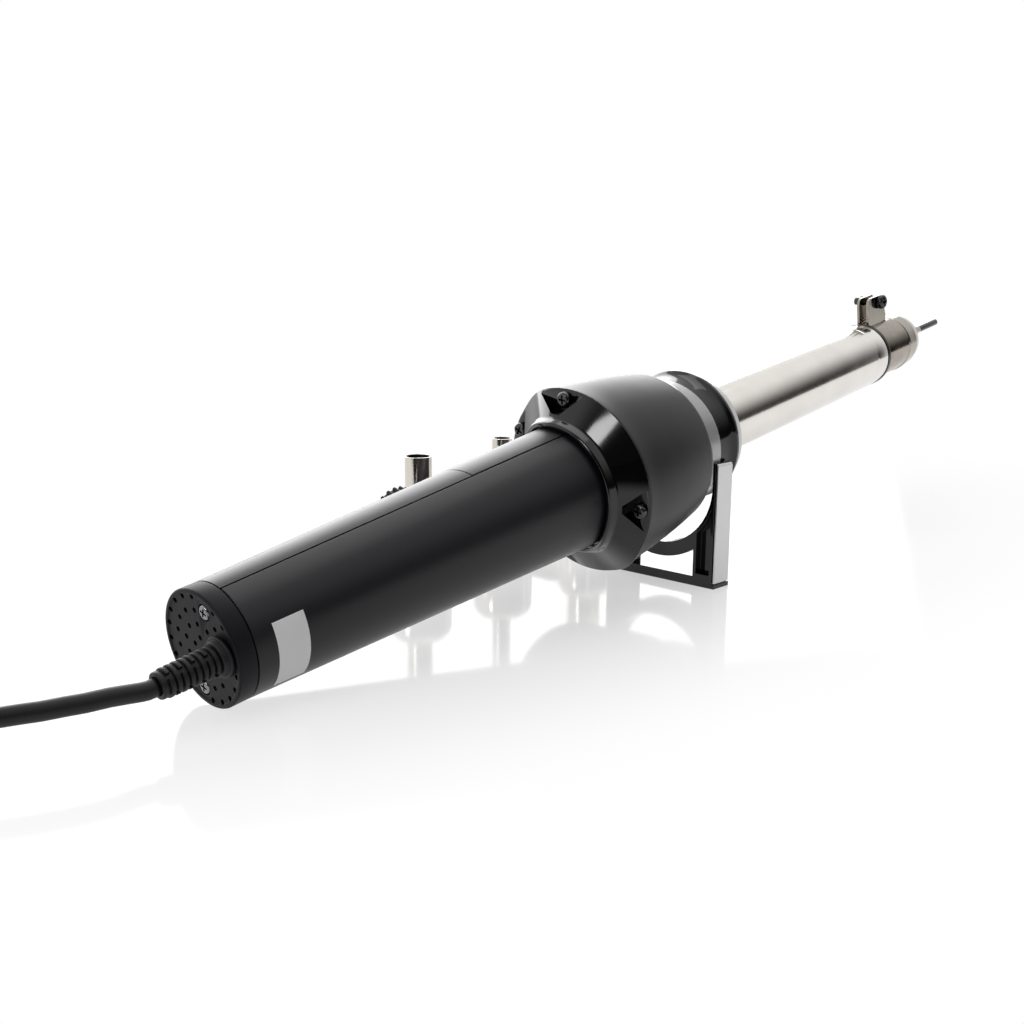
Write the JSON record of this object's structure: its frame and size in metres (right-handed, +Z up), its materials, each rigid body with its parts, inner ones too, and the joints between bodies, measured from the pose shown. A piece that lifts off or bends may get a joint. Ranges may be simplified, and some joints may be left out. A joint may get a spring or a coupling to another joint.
{
  "type": "hot air rework station",
  "caption": "Hand-held hot air tool with a tapered handle, fan housing and steel heater barrel, resting nose up in a small U stand, with clamp-on nozzles and a mains lead",
  "frame": {"origin": "centre of the stand's foot, on the table", "axes": "+Z up, +X from the rear cap towards the nozzle along the gun's length seen from above, +Y to the side away from the camera, where the spare nozzles stand"},
  "size_m": [0.5179, 0.1501, 0.0943],
  "materials": {
    "handle_plastic": "satin, fine grain",
    "housing_plastic": "matte",
    "gloss_black": "glossy",
    "cord_rubber": "satin",
    "brushed_steel": "brushed",
    "polished_steel": "polished",
    "dark_steel": "blackened",
    "silver_plastic": "satin silver",
    "ceramic_white": "matte",
    "heater_alloy": "oxidised",
    "board_green": "satin",
    "component_grey": "satin",
    "label_white": "satin",
    "lens_red": "glossy",
    "impeller_grey": "satin"
  },
  "bodies": {
    "stand": {"stand_body": "gloss_black", "stand_side_plate_near": "silver_plastic", "stand_side_plate_far": "silver_plastic", "cord_coil": "cord_rubber", "cord_tail": "cord_rubber", "cord_tie": "cord_rubber", "plug_body": "cord_rubber", "plug_pin_left": "polished_steel", "plug_pin_right": "polished_steel"},
    "handset": {"rear_end_cap": "handle_plastic", "end_cap_screw_1": "dark_steel", "end_cap_screw_2": "dark_steel", "strain_relief": "cord_rubber", "lower_shell": "handle_plastic", "control_cover": "handle_plastic", "front_cover": "handle_plastic", "blank_label": "label_white", "switch_bezel": "gloss_black", "indicator_lens": "lens_red", "circuit_board": "board_green", "potentiometer": "component_grey", "terminal_block": "component_grey", "board_capacitor": "component_grey", "triac": "component_grey", "rear_collar": "gloss_black", "collar_screw_1": "dark_steel", "collar_screw_2": "dark_steel", "collar_screw_3": "dark_steel", "collar_screw_4": "dark_steel", "fan_housing": "housing_plastic", "motor_mount": "brushed_steel", "fan_motor": "brushed_steel", "neck_ring": "gloss_black", "front_flange": "brushed_steel", "flange_screw_1": "dark_steel", "flange_screw_2": "dark_steel", "flange_screw_3": "dark_steel", "barrel": "brushed_steel", "barrel_end_ring": "dark_steel", "heater_sleeve": "polished_steel", "insulating_ring": "ceramic_white", "heater_former": "ceramic_white", "heater_coil": "heater_alloy", "cord_lead": "cord_rubber"},
    "knob": {"temperature_knob": "handle_plastic"},
    "rocker": {"power_rocker": "gloss_black"},
    "fan": {"motor_shaft": "polished_steel", "fan_impeller": "impeller_grey"},
    "fitted_nozzle": {"nozzle": "polished_steel", "clamp_nut": "dark_steel"},
    "nozzle_screw": {"clamp_screw": "dark_steel"},
    "medium_nozzle": {"spare_nozzle_medium": "polished_steel", "spare_nut_medium": "dark_steel"},
    "medium_screw": {"spare_screw_medium": "dark_steel"},
    "small_nozzle": {"spare_nozzle_small": "polished_steel", "spare_nut_small": "dark_steel"},
    "small_screw": {"spare_screw_small": "dark_steel"},
    "large_nozzle": {"spare_nozzle_large": "polished_steel", "spare_nut_large": "dark_steel"},
    "large_screw": {"spare_screw_large": "dark_steel"}
  },
  "joints": [
    {"name": "handset_lift", "type": "slide", "parent": "stand", "child": "handset", "axis": [0, 0, 1], "range_m": [0, 0.06]},
    {"name": "knob_turn", "type": "hinge", "parent": "handset", "child": "knob", "pos_m": [-0.10683, 0.01712, 0.03406], "axis": [-0.0531, 0.9511, 0.3044], "range_deg": [0, 280]},
    {"name": "rocker_tilt", "type": "hinge", "parent": "handset", "child": "rocker", "pos_m": [-0.13719, 0.0156, 0.02826], "axis": [0.1635, 0.309, -0.9369], "range_deg": [-18, 0]},
    {"name": "fan_spin", "type": "hinge", "parent": "handset", "child": "fan", "pos_m": [-0.1836, 0, 0.01501], "axis": [0.9851, 0, 0.1719], "continuous": true},
    {"name": "nozzle_slide", "type": "slide", "parent": "handset", "child": "fitted_nozzle", "axis": [0.9851, 0, 0.1719], "range_m": [0, 0.04]},
    {"name": "clamp_screw_turn", "type": "hinge", "parent": "fitted_nozzle", "child": "nozzle_screw", "pos_m": [0.13808, 0, 0.09126], "axis": [0, 1, 0], "range_deg": [0, 720]},
    {"name": "medium_nozzle_lift", "type": "slide", "parent": "stand", "child": "medium_nozzle", "axis": [0, 0, 1], "range_m": [0, 0.03]},
    {"name": "medium_screw_turn", "type": "hinge", "parent": "medium_nozzle", "child": "medium_screw", "pos_m": [-0.07835, 0.06924, 0.0097], "axis": [0.7193, 0.6947, 0], "range_deg": [0, 720]},
    {"name": "small_nozzle_lift", "type": "slide", "parent": "stand", "child": "small_nozzle", "axis": [0, 0, 1], "range_m": [0, 0.03]},
    {"name": "small_screw_turn", "type": "hinge", "parent": "small_nozzle", "child": "small_screw", "pos_m": [-0.01187, 0.07017, 0.0097], "axis": [0.766, -0.6428, 0], "range_deg": [0, 720]},
    {"name": "large_nozzle_lift", "type": "slide", "parent": "stand", "child": "large_nozzle", "axis": [0, 0, 1], "range_m": [0, 0.03]},
    {"name": "large_screw_turn", "type": "hinge", "parent": "large_nozzle", "child": "large_screw", "pos_m": [0.00623, 0.06773, 0.0097], "axis": [0.6428, 0.766, 0], "range_deg": [0, 720]}
  ]
}
